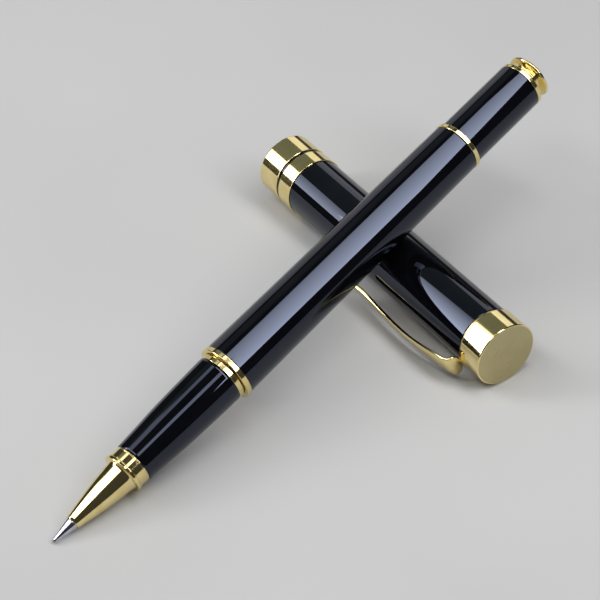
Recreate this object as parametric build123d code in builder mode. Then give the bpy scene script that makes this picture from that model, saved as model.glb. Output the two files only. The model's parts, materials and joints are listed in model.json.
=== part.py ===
from build123d import *

import math
import os

# Rollerball pen lying uncapped on a table, leaning across its own cap.
# Millimetres, +Z up. The origin is on the table, under the middle of the whole arrangement.
# +Y runs along the cap from its crown to its mouth. The pen runs mainly along +X, tip to tail.
# Pen pieces are drawn as half sections: distance from the tip, then radius.
# Cap pieces are drawn the same way: distance from the crown's flat face, then radius.

# Driving dimensions of the pen, as distances from the writing tip
BALL_R = 0.35
NOSE_FRONT = 4.5
FLANGE_START = 16.1
FLANGE_END = 16.75
COLLAR_END = 18.83
SECTION_END = 39.65
PARTING = 40.75
BARREL_START = 41.78
BARREL_END = 99.62
TAIL_START = 100.55
TAIL_END = 116.6
FINIAL_START = 117.4
PEN_LENGTH = 120.3

# Driving radii of the pen
NOSE_HOLE_R = 1.18
FLANGE_R = 3.90
COLLAR_R = 3.66
BARREL_FRONT_R = 5.23
BARREL_BACK_R = 4.77
TAIL_R = 4.46
FINIAL_R = 4.23

# Refill, the common 110 mm rollerball size
REFILL_LENGTH = 110.5
REFILL_R = 3.05
REFILL_WALL = 0.29
POINT_R = 1.12
REFILL_SHOULDER = 22.05

# Thread between section and barrel
THREAD_PITCH = 1.0
THREAD_START = 43.0
THREAD_TURNS = 6
THREAD_CREST_R = 3.93
THREAD_ROOT_R = 3.5
SLEEVE_BORE_R = 3.15
BUSH_BORE_R = 3.98
BUSH_R = 4.53

# Driving dimensions of the cap, as distances from the crown's flat face
CROWN_DEPTH = 5.0
CROWN_R = 5.95
CAP_TUBE_START = 5.53
CAP_LENGTH = 65.34
CAP_R = 5.62
CAP_BORE_R = 4.75
LINER_SEAT_R = 5.0
LINER_END = 42.5
BAND_R = 5.80
REAR_BAND_START = 56.1
REAR_BAND_END = 59.5
FRONT_BAND_START = 60.05
STUD_R = 1.5

# Clip
CLIP_END = 32.4
CLIP_ROLL_DEG = 72.0
CLIP_SHOULDER_WIDTH = 4.2
CLIP_ARM_WIDTH = 2.3

# How the two lie on the table
SLIP = 0.02
CAP_X = 21.4
CAP_AXIS_Z = CROWN_R
CROWN_FACE_Y = -CAP_LENGTH / 2
LEAN_DEG = 11.32
TURN_DEG = 9.74
TIP_X = -58.37
TIP_Y = -14.82

# The nose's flange rests on the table, which sets the tip's height.
lean = math.radians(LEAN_DEG)
turn = math.radians(TURN_DEG)
roll = math.radians(CLIP_ROLL_DEG)
TIP_Z = FLANGE_R * math.cos(lean) - (FLANGE_START + 0.22) * math.sin(lean) + SLIP
TIP = Vector(TIP_X, TIP_Y, TIP_Z)
PEN_DIR = Vector(math.cos(lean) * math.cos(turn), math.cos(lean) * math.sin(turn), math.sin(lean))
PEN_SIDE = Vector(math.sin(turn), -math.cos(turn), 0)
PEN = Plane(origin=TIP, x_dir=PEN_DIR, z_dir=PEN_SIDE)
PEN_AXIS = Axis(TIP, PEN_DIR)

CROWN_CENTRE = Vector(CAP_X, CROWN_FACE_Y, CAP_AXIS_Z)
CAP = Plane(origin=CROWN_CENTRE, x_dir=(0, 1, 0), z_dir=(1, 0, 0))
CAP_AXIS = Axis(CROWN_CENTRE, (0, 1, 0))
CLIP_SIDE = Plane(origin=CROWN_CENTRE, x_dir=(0, 1, 0), z_dir=(-math.cos(roll), 0, math.sin(roll)))
CLIP_PLAN = Plane(origin=CROWN_CENTRE, x_dir=(0, 1, 0), z_dir=(-math.sin(roll), 0, -math.cos(roll)))

os.makedirs("parts", exist_ok=True)


def save(piece, name):
    """Names a finished piece and writes its STEP file."""
    piece.part.label = name
    export_step(piece.part, f"parts/{name}.step")


def sleeve(start, end, inner, outer, mode=Mode.ADD):
    """Adds a rectangle to the open half section, which becomes a sleeve when it is revolved."""
    with Locations(((start + end) / 2, (inner + outer) / 2)):
        Rectangle(end - start, outer - inner, mode=mode)


def outline(points, mode=Mode.ADD):
    """Adds a closed outline with straight sides to the open half section."""
    Polygon(*points, align=None, mode=mode)


def grooves(start, count, pitch, mouth_r, bottom_r):
    """Cuts V grooves into the open half section, one per pitch, from the mouth radius to the bottom."""
    for i in range(count):
        middle = start + (i + 0.5) * pitch
        half = pitch * 0.4
        outline(
            [(middle - half, mouth_r), (middle, bottom_r), (middle + half, mouth_r)],
            mode=Mode.SUBTRACT,
        )


# ---------------------------------------------------------------- refill


def make_writing_ball():
    with BuildPart() as ball:
        with Locations(TIP + PEN_DIR * BALL_R):
            Sphere(BALL_R)
    save(ball, "writing_ball")


def make_refill_point():
    """Steel point: a cone with the ball's socket, then a stem with the ink channel."""
    lip_t, lip_r = 0.30, 0.43
    cone_end, stem_end, spigot_end = 4.3, 12.0, 16.0
    with BuildPart() as point:
        with BuildSketch(PEN):
            outline([
                (lip_t, 0), (lip_t, lip_r), (cone_end, POINT_R), (stem_end, POINT_R),
                (stem_end, 0.95), (spigot_end, 0.95), (spigot_end, 0),
            ])
            with Locations((BALL_R, 0)):
                Circle(BALL_R + 0.012, mode=Mode.SUBTRACT)
            sleeve(BALL_R, spigot_end, 0, 0.2, mode=Mode.SUBTRACT)
            with Locations((0, -1)):
                Rectangle(60, 2, mode=Mode.SUBTRACT)
        revolve(axis=PEN_AXIS)
    save(point, "refill_point")


def make_refill_adaptor():
    """Plastic holder between the steel point and the refill tube; its shoulder seats in the nose."""
    front, plug_start, plug_end = 12.05, 24.0, 29.0
    with BuildPart() as adaptor:
        with BuildSketch(PEN):
            outline([
                (front, 0.4), (front, 1.45), (front + 0.3, 1.6), (12.9, 1.6), (13.7, 2.3),
                (REFILL_SHOULDER, 2.3), (REFILL_SHOULDER, 3.0), (plug_start, 3.0),
                (plug_start, 2.74), (plug_end - 0.4, 2.74), (plug_end, 2.5), (plug_end, 0.4),
            ])
            sleeve(front, 16.1, 0.4, 0.97, mode=Mode.SUBTRACT)
        revolve(axis=PEN_AXIS)
    save(adaptor, "refill_adaptor")


def make_refill_tube():
    with BuildPart() as tube:
        with BuildSketch(PEN):
            sleeve(24.02, 107.5, REFILL_R - REFILL_WALL, REFILL_R)
        revolve(axis=PEN_AXIS)
        chamfer(tube.edges().filter_by(GeomType.CIRCLE), 0.06)
    save(tube, "refill_tube")


def make_ink_reservoir():
    """Fibre rod that holds the ink."""
    with BuildPart() as rod:
        with BuildSketch(PEN):
            sleeve(29.2, 103.0, 0, 2.7)
        revolve(axis=PEN_AXIS)
        chamfer(rod.edges().filter_by(GeomType.CIRCLE), 0.2)
    save(rod, "ink_reservoir")


def make_refill_plug():
    with BuildPart() as plug:
        with BuildSketch(PEN):
            outline([
                (103.2, 0), (103.2, 2.5), (103.5, 2.74), (107.52, 2.74), (107.52, REFILL_R),
                (REFILL_LENGTH - 0.4, REFILL_R), (REFILL_LENGTH, REFILL_R - 0.4),
                (REFILL_LENGTH, 1.6), (REFILL_LENGTH - 1.2, 1.6), (REFILL_LENGTH - 1.2, 0),
            ])
        revolve(axis=PEN_AXIS)
    save(plug, "refill_plug")


def make_refill_spring():
    """Coil between the refill's end and the tail plug."""
    wire_r, coil_r, turns = 0.22, 2.35, 4
    start, end = REFILL_LENGTH + 0.05 + wire_r, 115.35 - wire_r
    with BuildPart() as spring:
        with BuildLine() as path:
            Helix(
                pitch=(end - start) / turns, height=end - start, radius=coil_r,
                center=TIP + PEN_DIR * start, direction=PEN_DIR,
            )
        with BuildSketch(Plane(origin=path.line @ 0, z_dir=path.line % 0)):
            Circle(wire_r)
        sweep()
    save(spring, "refill_spring")


# ---------------------------------------------------------------- section


def make_nose_cone():
    """Gold cone with a flange at its back and a threaded spigot that holds it in the grip."""
    spigot_r, spigot_end = 3.05, 22.0
    with BuildPart() as nose:
        with BuildSketch(PEN):
            with BuildLine():
                cone = Spline((NOSE_FRONT + 0.12, 1.315), (8.8, 2.1), (12.0, 2.6), (15.9, 3.05))
                Polyline(
                    cone @ 1, (FLANGE_START, 3.2), (FLANGE_START, FLANGE_R - 0.25),
                    (FLANGE_START + 0.22, FLANGE_R), (FLANGE_END - 0.2, FLANGE_R),
                    (FLANGE_END, FLANGE_R - 0.2), (FLANGE_END, spigot_r), (spigot_end, spigot_r),
                    (spigot_end, 2.45), (13.6, 2.45), (13.0, 1.75), (8.6, 1.75),
                    (8.2, NOSE_HOLE_R), (NOSE_FRONT, NOSE_HOLE_R), (NOSE_FRONT, 1.25), cone @ 0,
                )
            make_face()
        revolve(axis=PEN_AXIS)
    save(nose, "nose_cone")


def make_nose_collar():
    with BuildPart() as collar:
        with BuildSketch(PEN):
            outline([
                (FLANGE_END + SLIP, 3.07), (FLANGE_END + SLIP, COLLAR_R - 0.1),
                (FLANGE_END + 0.15, COLLAR_R), (COLLAR_END - 0.25, COLLAR_R),
                (COLLAR_END, COLLAR_R - 0.2), (COLLAR_END, 3.07),
            ])
        revolve(axis=PEN_AXIS)
    save(collar, "nose_collar")


def make_grip_section():
    """Lacquered grip: slim behind the collar, fullest about two thirds of the way back."""
    front = COLLAR_END + SLIP
    with BuildPart() as grip:
        with BuildSketch(PEN):
            with BuildLine():
                skin = Spline(
                    (front + 0.12, 3.80), (23.0, 4.02), (27.0, 4.28), (31.0, 4.55),
                    (35.0, 4.65), (SECTION_END - 0.08, 4.57),
                )
                Polyline(
                    skin @ 1, (SECTION_END, 4.48), (SECTION_END, 3.64), (33.45, 3.64),
                    (33.45, 3.2), (22.3, 3.2), (22.3, 3.07), (front, 3.07), (front, 3.68), skin @ 0,
                )
            make_face()
        revolve(axis=PEN_AXIS)
    save(grip, "grip_section")


def make_section_sleeve():
    """Brass sleeve in the back of the grip, with the thread that enters the barrel."""
    front, end = 33.5, THREAD_START + THREAD_TURNS * THREAD_PITCH + 0.2
    seal_start, seal_end = 41.2, 42.0
    with BuildPart() as piece:
        with BuildSketch(PEN):
            sleeve(front, PARTING - 0.25, SLEEVE_BORE_R, 3.62)
            sleeve(PARTING - 0.25, PARTING - SLIP, SLEEVE_BORE_R, 4.38)
            sleeve(PARTING - SLIP, THREAD_START, SLEEVE_BORE_R, 3.72)
            sleeve(THREAD_START, end, SLEEVE_BORE_R, THREAD_CREST_R)
            sleeve(seal_start, seal_end, 3.42, 3.80, mode=Mode.SUBTRACT)
            grooves(THREAD_START, THREAD_TURNS, THREAD_PITCH, THREAD_CREST_R, THREAD_ROOT_R)
        revolve(axis=PEN_AXIS)
    save(piece, "section_sleeve")


def make_seal_ring():
    """Rubber ring on the sleeve that keeps the barrel from working loose."""
    with BuildPart() as ring:
        with BuildSketch(PEN):
            with Locations((41.6, 3.69)):
                Circle(0.25)
        revolve(axis=PEN_AXIS)
    save(ring, "seal_ring")


def make_section_trim_ring():
    start, end, top = SECTION_END + 0.03, PARTING - 0.27, 4.62
    with BuildPart() as ring:
        with BuildSketch(PEN):
            outline([
                (start, 3.64), (start, top - 0.12), (start + 0.12, top),
                (end - 0.12, top), (end, top - 0.12), (end, 3.64),
            ])
        revolve(axis=PEN_AXIS)
    save(ring, "section_trim_ring")


# ---------------------------------------------------------------- barrel


def make_barrel_trim_ring():
    """Wider gold ring at the front of the barrel; the cap's mouth stops against it."""
    start, end, inner = PARTING + 0.05, BARREL_START - 0.03, BUSH_R + SLIP
    with BuildPart() as ring:
        with BuildSketch(PEN):
            with BuildLine():
                crest = ThreePointArc((start + 0.25, 5.20), (start + 0.55, 5.40), (end, 5.28))
                Polyline(crest @ 1, (end, inner), (start, inner), (start, 4.80), crest @ 0)
            make_face()
        revolve(axis=PEN_AXIS)
    save(ring, "barrel_trim_ring")


def make_barrel_bush():
    """Brass bush in the front of the barrel, with the inside thread."""
    front, end = PARTING + 0.05, 50.3
    with BuildPart() as bush:
        with BuildSketch(PEN):
            sleeve(front, end, BUSH_BORE_R, BUSH_R)
            grooves(THREAD_START, THREAD_TURNS, THREAD_PITCH, BUSH_BORE_R, BUSH_BORE_R + 0.3)
        revolve(axis=PEN_AXIS)
    save(bush, "barrel_bush")


def make_barrel_tube():
    with BuildPart() as tube:
        with BuildSketch(PEN):
            outline([
                (BARREL_START, BUSH_R + SLIP), (BARREL_START, BARREL_FRONT_R - 0.08),
                (BARREL_START + 0.1, BARREL_FRONT_R), (BARREL_END - 0.1, BARREL_BACK_R),
                (BARREL_END, BARREL_BACK_R - 0.08), (BARREL_END, 4.2), (50.6, 4.2),
                (50.6, BUSH_R + SLIP),
            ])
        revolve(axis=PEN_AXIS)
    save(tube, "barrel_tube")


def make_barrel_ring():
    start, end, top = BARREL_END + 0.03, TAIL_START - 0.03, 4.84
    with BuildPart() as ring:
        with BuildSketch(PEN):
            with BuildLine():
                crest = ThreePointArc((start, top - 0.2), ((start + end) / 2, top), (end, top - 0.2))
                Polyline(crest @ 1, (end, 4.0), (start, 4.0), crest @ 0)
            make_face()
        revolve(axis=PEN_AXIS)
    save(ring, "barrel_ring")


def make_tail_connector():
    """Brass tube that joins the barrel to the tail and carries the ring between them."""
    with BuildPart() as piece:
        with BuildSketch(PEN):
            sleeve(93.5, BARREL_END, 3.3, 4.18)
            sleeve(BARREL_END, 106.0, 3.3, 3.98)
        revolve(axis=PEN_AXIS)
        ends = piece.edges().filter_by(GeomType.CIRCLE).group_by(Axis.X)
        chamfer(ends[0] + ends[-1], 0.15)
    save(piece, "tail_connector")


def make_tail_tube():
    with BuildPart() as tube:
        with BuildSketch(PEN):
            outline([
                (TAIL_START, 4.0), (TAIL_START, TAIL_R), (TAIL_END, TAIL_R),
                (TAIL_END, 3.6), (106.2, 3.6), (106.2, 4.0),
            ])
        revolve(axis=PEN_AXIS)
    save(tube, "tail_tube")


def make_tail_plug():
    """Brass plug glued in the tail; the spring stands on it and the finial screws into it."""
    with BuildPart() as plug:
        with BuildSketch(PEN):
            sleeve(115.4, TAIL_END, STUD_R, 3.58)
            sleeve(TAIL_END, FINIAL_START - SLIP, STUD_R, 2.98)
        revolve(axis=PEN_AXIS)
    save(plug, "tail_plug")


def make_tail_ring():
    start, end = TAIL_END + SLIP, FINIAL_START - SLIP
    with BuildPart() as ring:
        with BuildSketch(PEN):
            outline([
                (start, 3.0), (start, TAIL_R - 0.08), (start + 0.1, TAIL_R),
                (end - 0.1, TAIL_R), (end, TAIL_R - 0.1), (end, 3.0),
            ])
        revolve(axis=PEN_AXIS)
    save(ring, "tail_ring")


def make_end_finial():
    """Gold button: a stud, a waisted neck and a domed disc."""
    neck_t, rim_t = 118.2, 119.05
    with BuildPart() as finial:
        with BuildSketch(PEN):
            with BuildLine():
                cove = ThreePointArc((FINIAL_START, 4.1), (neck_t, 3.4), (rim_t, 4.12))
                rim = Polyline(cove @ 1, (rim_t + 0.1, FINIAL_R), (rim_t + 0.6, FINIAL_R))
                dome = TangentArc((PEN_LENGTH, 0), rim @ 1, tangent=(0, 1))
                Polyline(
                    dome @ 0, (115.5, 0), (115.5, STUD_R - 0.12), (115.7, STUD_R - SLIP),
                    (FINIAL_START, STUD_R - SLIP), cove @ 0,
                )
            make_face()
        revolve(axis=PEN_AXIS)
    save(finial, "end_finial")


# ---------------------------------------------------------------- cap


def make_crown():
    """Thick flat-topped gold disc, hollow underneath round a boss for the stud."""
    with BuildPart() as crown:
        with BuildSketch(CAP):
            outline([
                (0, 0), (0, CROWN_R - 0.25), (0.25, CROWN_R), (CROWN_DEPTH - 0.2, CROWN_R),
                (CROWN_DEPTH, CROWN_R - 0.2), (CROWN_DEPTH, 4.9), (1.6, 4.9), (1.6, 2.6),
                (CROWN_DEPTH, 2.6), (CROWN_DEPTH, STUD_R + SLIP), (2.0, STUD_R + SLIP), (2.0, 0),
            ])
        revolve(axis=CAP_AXIS)
    save(crown, "crown")


def make_crown_stud():
    """Steel stud that pulls the crown, the clip's ring and the cap tube together."""
    with BuildPart() as stud:
        with BuildSketch(CAP):
            sleeve(2.05, 14.0, 0, STUD_R)
            grooves(8.0, 9, 0.6, STUD_R, STUD_R - 0.25)
        revolve(axis=CAP_AXIS)
        chamfer(stud.edges().filter_by(GeomType.CIRCLE).sort_by(Axis.Y)[-1], 0.2)
    save(stud, "crown_stud")


def make_clip_ring():
    with BuildPart() as ring:
        with BuildSketch(CAP):
            sleeve(CROWN_DEPTH + 0.03, CAP_TUBE_START - 0.03, STUD_R + 0.1, 5.6)
        revolve(axis=CAP_AXIS)
    save(ring, "clip_ring")


def make_cap_insert():
    """Brass plug inside the cap that the stud screws into."""
    seat_r = LINER_SEAT_R - SLIP
    with BuildPart() as insert:
        with BuildSketch(CAP):
            outline([
                (8.0, 0), (8.0, seat_r - 0.2), (8.2, seat_r), (11.0, seat_r),
                (11.6, 3.4), (17.4, 3.4), (18.0, seat_r), (21.5, seat_r), (21.5, 0),
            ])
            sleeve(8.0, 15.0, 0, STUD_R + 0.05, mode=Mode.SUBTRACT)
        revolve(axis=CAP_AXIS)
    save(insert, "cap_insert")


def make_inner_sleeve():
    """Plastic liner that closes round the nose so that the ink doesn't dry."""
    start, end, seat_r = 21.55, LINER_END - SLIP, LINER_SEAT_R - SLIP
    with BuildPart() as liner:
        with BuildSketch(CAP):
            outline([
                (start, 4.1), (start, seat_r), (end, seat_r), (end, 4.45), (end - 0.5, 4.1),
            ])
        revolve(axis=CAP_AXIS)
    save(liner, "inner_sleeve")


def make_cap_tube():
    """Lacquered tube, bored wider for the liner and turned down under the two gold bands."""
    seat_r, end = 5.4, CAP_LENGTH - 0.34
    with BuildPart() as tube:
        with BuildSketch(CAP):
            sleeve(CAP_TUBE_START, end, CAP_BORE_R, CAP_R)
            sleeve(CAP_TUBE_START, LINER_END, CAP_BORE_R, LINER_SEAT_R, mode=Mode.SUBTRACT)
            sleeve(REAR_BAND_START, REAR_BAND_END, seat_r, CAP_R, mode=Mode.SUBTRACT)
            sleeve(FRONT_BAND_START, end, seat_r, CAP_R, mode=Mode.SUBTRACT)
        revolve(axis=CAP_AXIS)
    save(tube, "cap_tube")


def make_rear_mouth_band():
    start, end, seat_r = REAR_BAND_START + SLIP, REAR_BAND_END - SLIP, 5.42
    with BuildPart() as band:
        with BuildSketch(CAP):
            outline([
                (start, seat_r), (start, BAND_R - 0.1), (start + 0.1, BAND_R),
                (end - 0.1, BAND_R), (end, BAND_R - 0.1), (end, seat_r),
            ])
        revolve(axis=CAP_AXIS)
    save(band, "rear_mouth_band")


def make_front_mouth_band():
    """Gold band with a lip that folds over the end of the tube."""
    start, lip_start, seat_r = FRONT_BAND_START + SLIP, CAP_LENGTH - 0.32, 5.42
    lip_r = CAP_BORE_R + 0.03
    with BuildPart() as band:
        with BuildSketch(CAP):
            with BuildLine():
                fold = ThreePointArc(
                    (CAP_LENGTH - 0.3, BAND_R), (CAP_LENGTH - 0.09, BAND_R - 0.09),
                    (CAP_LENGTH, BAND_R - 0.3),
                )
                Polyline(
                    fold @ 1, (CAP_LENGTH, lip_r), (lip_start, lip_r), (lip_start, seat_r),
                    (start, seat_r), (start, BAND_R - 0.1), (start + 0.1, BAND_R), fold @ 0,
                )
            make_face()
        revolve(axis=CAP_AXIS)
    save(band, "front_mouth_band")


def make_clip():
    """Sprung gold clip: a hooked neck, a wide shoulder and a long arm that bows off the cap."""
    root_start, root_r, root_thick = 5.1, 5.68, 0.75
    half_shoulder, half_arm = CLIP_SHOULDER_WIDTH / 2, CLIP_ARM_WIDTH / 2
    with BuildPart() as clip:
        with BuildSketch(CLIP_SIDE):
            with BuildLine():
                top = Spline(
                    (root_start, 6.7), (5.35, 7.5), (6.3, 8.35), (8.3, 8.9), (13.0, 9.42),
                    (18.5, 9.5), (24.5, 9.15), (29.0, 8.8), (CLIP_END, 8.95),
                )
                under = Spline(
                    (CLIP_END, 8.2), (29.0, 8.05), (24.5, 8.38), (18.5, 8.68), (13.0, 8.55),
                    (8.9, 7.95), (6.9, 7.4), (6.05, 6.9), (root_start + root_thick, 6.4),
                )
                Line(top @ 1, under @ 0)
                Polyline(
                    under @ 1, (root_start + root_thick, root_r), (root_start, root_r), top @ 0,
                )
            make_face()
        extrude(amount=CLIP_SHOULDER_WIDTH, both=True)
        with BuildSketch(CLIP_PLAN):
            with BuildLine():
                edge = Spline(
                    (root_start, 1.1), (6.2, 1.45), (8.2, half_shoulder), (10.0, 1.85),
                    (14.5, 1.3), (21.0, half_arm), (CLIP_END, 1.35),
                )
                far = Line(edge @ 1, (CLIP_END, 0))
                Polyline(far @ 1, (root_start, 0), edge @ 0)
            make_face()
            mirror(about=Plane.XZ)
        extrude(amount=12, mode=Mode.INTERSECT)
    save(clip, "clip")


make_writing_ball()
make_refill_point()
make_refill_adaptor()
make_refill_tube()
make_ink_reservoir()
make_refill_plug()
make_refill_spring()
make_nose_cone()
make_nose_collar()
make_grip_section()
make_section_sleeve()
make_seal_ring()
make_section_trim_ring()
make_barrel_trim_ring()
make_barrel_bush()
make_barrel_tube()
make_barrel_ring()
make_tail_connector()
make_tail_tube()
make_tail_plug()
make_tail_ring()
make_end_finial()
make_crown()
make_crown_stud()
make_clip_ring()
make_cap_insert()
make_inner_sleeve()
make_cap_tube()
make_rear_mouth_band()
make_front_mouth_band()
make_clip()
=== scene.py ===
import json
import math

import bmesh
import bpy
from mathutils import Matrix, Vector
from mathutils.geometry import interpolate_bezier


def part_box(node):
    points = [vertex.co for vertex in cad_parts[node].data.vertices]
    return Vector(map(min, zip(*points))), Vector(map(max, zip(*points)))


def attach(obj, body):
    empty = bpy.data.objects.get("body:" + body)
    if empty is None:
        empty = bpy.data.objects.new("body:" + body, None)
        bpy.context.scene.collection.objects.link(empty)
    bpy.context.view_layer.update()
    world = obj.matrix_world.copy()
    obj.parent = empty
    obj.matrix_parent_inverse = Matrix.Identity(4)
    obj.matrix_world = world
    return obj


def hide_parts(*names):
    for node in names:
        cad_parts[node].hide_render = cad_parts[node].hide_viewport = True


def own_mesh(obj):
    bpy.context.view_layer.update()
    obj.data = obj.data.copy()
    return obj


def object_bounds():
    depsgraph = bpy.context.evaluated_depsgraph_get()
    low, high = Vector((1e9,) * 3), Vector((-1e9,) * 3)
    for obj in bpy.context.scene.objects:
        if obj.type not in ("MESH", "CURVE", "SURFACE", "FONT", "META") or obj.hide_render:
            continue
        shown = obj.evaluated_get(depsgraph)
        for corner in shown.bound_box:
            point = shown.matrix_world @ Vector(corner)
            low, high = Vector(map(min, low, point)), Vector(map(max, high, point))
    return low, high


# A rollerball pen in black lacquer with gold trim, leaning across its own cap on a pale floor.
# Turned pieces are built from outlines of (station, radius) points in millimetres.
# A pen piece's stations run from the writing tip, a cap piece's from the crown's flat face.

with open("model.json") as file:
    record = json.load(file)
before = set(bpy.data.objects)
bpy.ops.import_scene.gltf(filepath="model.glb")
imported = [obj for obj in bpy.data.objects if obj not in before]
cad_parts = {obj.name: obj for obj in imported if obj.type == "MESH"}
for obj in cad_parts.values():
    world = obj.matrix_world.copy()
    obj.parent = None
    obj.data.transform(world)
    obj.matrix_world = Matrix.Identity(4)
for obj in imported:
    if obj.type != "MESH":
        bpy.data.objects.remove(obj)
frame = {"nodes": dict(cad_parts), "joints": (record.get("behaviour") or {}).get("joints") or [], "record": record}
cad_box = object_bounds()
record = frame["record"]

MM = 0.001
RING_STEPS = 160
FILLET_STEPS = 5
LARGEST_CUT = 0.35  # share of a side that the rounding of one corner may take
SUPPORT_REACH = 1.25  # where the extra point beside a rounding lies, in lengths of its cut
ON_AXIS = 1e-6
SHARP_ANGLE = math.radians(38)


# ---------------------------------------------------------------- places, read from the frame


def joint(name):
    return next(j for j in frame["joints"] if j["name"] == name)


def mount(name):
    return next(m for m in record["mounts"] if m["name"] == name)


def on_line(line, station):
    """The point at a station in millimetres along a line."""
    return line @ Vector((0, 0, station * MM))


def line_place(start, direction):
    """The matrix of a line's own space: Z along it, Y upward, X to its left, and the start at zero."""
    along = Vector(direction).normalized()
    left = Vector((0, 0, 1)).cross(along).normalized()
    up = along.cross(left)
    return Matrix.Translation(Vector(start)) @ Matrix((left, up, along)).transposed().to_4x4()


def half_size(node):
    low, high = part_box(node)
    return (high - low) / 2


pen_direction = Vector(joint("barrel_twist")["axis"]).normalized()
ball_centre = Vector(joint("ball_roll")["pos_m"])
ball_radius = half_size("writing_ball").z
PEN = line_place(ball_centre - pen_direction * ball_radius, pen_direction)
CAP = line_place(mount("crown_face")["pos_m"], mount("cap_mouth")["axis"])


def reach(node, place):
    """(first station, last station, largest radius) of a CAD node on a line, in millimetres."""
    inverse = place.inverted()
    points = [inverse @ v.co for v in frame["nodes"][node].data.vertices]
    stations = [p.z for p in points]
    radius = max(math.hypot(p.x, p.y) for p in points)
    return min(stations) / MM, max(stations) / MM, radius / MM


# ---------------------------------------------------------------- shader building


class Shader:
    """One Principled material under construction, with the few node patterns that the pen needs.
    Its patterns lie in the space of one line, in metres, so that turning marks run round that line."""

    def __init__(self, name, line, **sockets):
        self.material = bpy.data.materials.new(name)
        self.material.use_nodes = True
        self.tree = self.material.node_tree
        self.surface = self.tree.nodes["Principled BSDF"]
        for socket, value in sockets.items():
            self.surface.inputs[socket.replace("_", " ")].default_value = value
        into_line = line.inverted()
        mapping = self.node("ShaderNodeMapping")
        mapping.inputs["Location"].default_value = into_line.translation
        mapping.inputs["Rotation"].default_value = into_line.to_euler()
        self.link(self.node("ShaderNodeTexCoord").outputs["Object"], mapping.inputs["Vector"])
        self.place = mapping.outputs["Vector"]

    def node(self, kind, **settings):
        made = self.tree.nodes.new(kind)
        for key, value in settings.items():
            setattr(made, key, value)
        return made

    def link(self, output, target):
        self.tree.links.new(output, target)

    def stretched(self, scale):
        """Places in the line's space, scaled to pattern cells per metre along each axis."""
        mapping = self.node("ShaderNodeMapping")
        mapping.inputs["Scale"].default_value = scale
        self.link(self.place, mapping.inputs["Vector"])
        return mapping.outputs["Vector"]

    def radial(self):
        """Distance from the line, in metres."""
        flat = self.node("ShaderNodeVectorMath", operation="MULTIPLY")
        flat.inputs[1].default_value = (1, 1, 0)
        self.link(self.place, flat.inputs[0])
        length = self.node("ShaderNodeVectorMath", operation="LENGTH")
        self.link(flat.outputs["Vector"], length.inputs[0])
        return length.outputs["Value"]

    def noise(self, scale, detail=3.0, roughness=0.55, distortion=0.0):
        """Noise between about 0 and 1. A scale of three numbers stretches it along the axes."""
        made = self.node("ShaderNodeTexNoise")
        made.inputs["Detail"].default_value = detail
        made.inputs["Roughness"].default_value = roughness
        made.inputs["Distortion"].default_value = distortion
        if isinstance(scale, (int, float)):
            made.inputs["Scale"].default_value = scale
            self.link(self.place, made.inputs["Vector"])
        else:
            made.inputs["Scale"].default_value = 1.0
            self.link(self.stretched(scale), made.inputs["Vector"])
        return made.outputs["Fac"]

    def line_noise(self, value, scale, detail=4.0):
        """Noise that changes only with one value, such as the station or the radius."""
        made = self.node("ShaderNodeTexNoise", noise_dimensions="1D")
        made.inputs["Detail"].default_value = detail
        made.inputs["Scale"].default_value = scale
        self.link(value, made.inputs["W"])
        return made.outputs["Fac"]

    def station(self):
        """Distance along the line, in metres."""
        split = self.node("ShaderNodeSeparateXYZ")
        self.link(self.place, split.inputs["Vector"])
        return split.outputs["Z"]

    def spread(self, value, low, high, low_from=0.3, high_from=0.7):
        """A value stretched from one range to another, and held inside the new one."""
        made = self.node("ShaderNodeMapRange")
        for socket, number in (
            ("From Min", low_from), ("From Max", high_from), ("To Min", low), ("To Max", high),
        ):
            made.inputs[socket].default_value = number
        self.link(value, made.inputs["Value"])
        return made.outputs["Result"]

    def colours(self, value, first, last, first_at=0.35, last_at=0.65):
        """A blend between two colours as the value rises."""
        ramp = self.node("ShaderNodeValToRGB")
        ramp.color_ramp.elements[0].position = first_at
        ramp.color_ramp.elements[0].color = (*first, 1)
        ramp.color_ramp.elements[1].position = last_at
        ramp.color_ramp.elements[1].color = (*last, 1)
        self.link(value, ramp.inputs["Fac"])
        return ramp.outputs["Color"]

    def combine(self, first, second, operation="MULTIPLY"):
        made = self.node("ShaderNodeMath", operation=operation)
        self.link(first, made.inputs[0])
        self.link(second, made.inputs[1])
        return made.outputs["Value"]

    def base(self, colour):
        self.link(colour, self.surface.inputs["Base Color"])

    def rough(self, value):
        self.link(value, self.surface.inputs["Roughness"])

    def relief(self, *layers):
        """Bump from (height, depth in metres) layers, one on top of the other."""
        below = None
        for height, depth in layers:
            bump = self.node("ShaderNodeBump")
            bump.inputs["Strength"].default_value = 1.0
            bump.inputs["Distance"].default_value = depth
            self.link(height, bump.inputs["Height"])
            if below:
                self.link(below, bump.inputs["Normal"])
            below = bump.outputs["Normal"]
        self.link(below, self.surface.inputs["Normal"])


def gold_plate(line):
    """Polished gold plate: faint turning lines round the axis, and a little haze."""
    gold = Shader("gold_plate_polished", line, Metallic=1.0, IOR=1.5)
    haze = gold.noise(420, detail=4)
    gold.base(gold.colours(haze, (0.84, 0.68, 0.30), (0.92, 0.78, 0.40)))
    lines = gold.line_noise(gold.station(), 7000, detail=1)
    gold.rough(gold.spread(gold.combine(haze, lines, "ADD"), 0.055, 0.12, 0.7, 1.3))
    gold.relief((lines, 0.00000012), (gold.noise(1100, detail=1), 0.0000002))
    return gold.material


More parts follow.
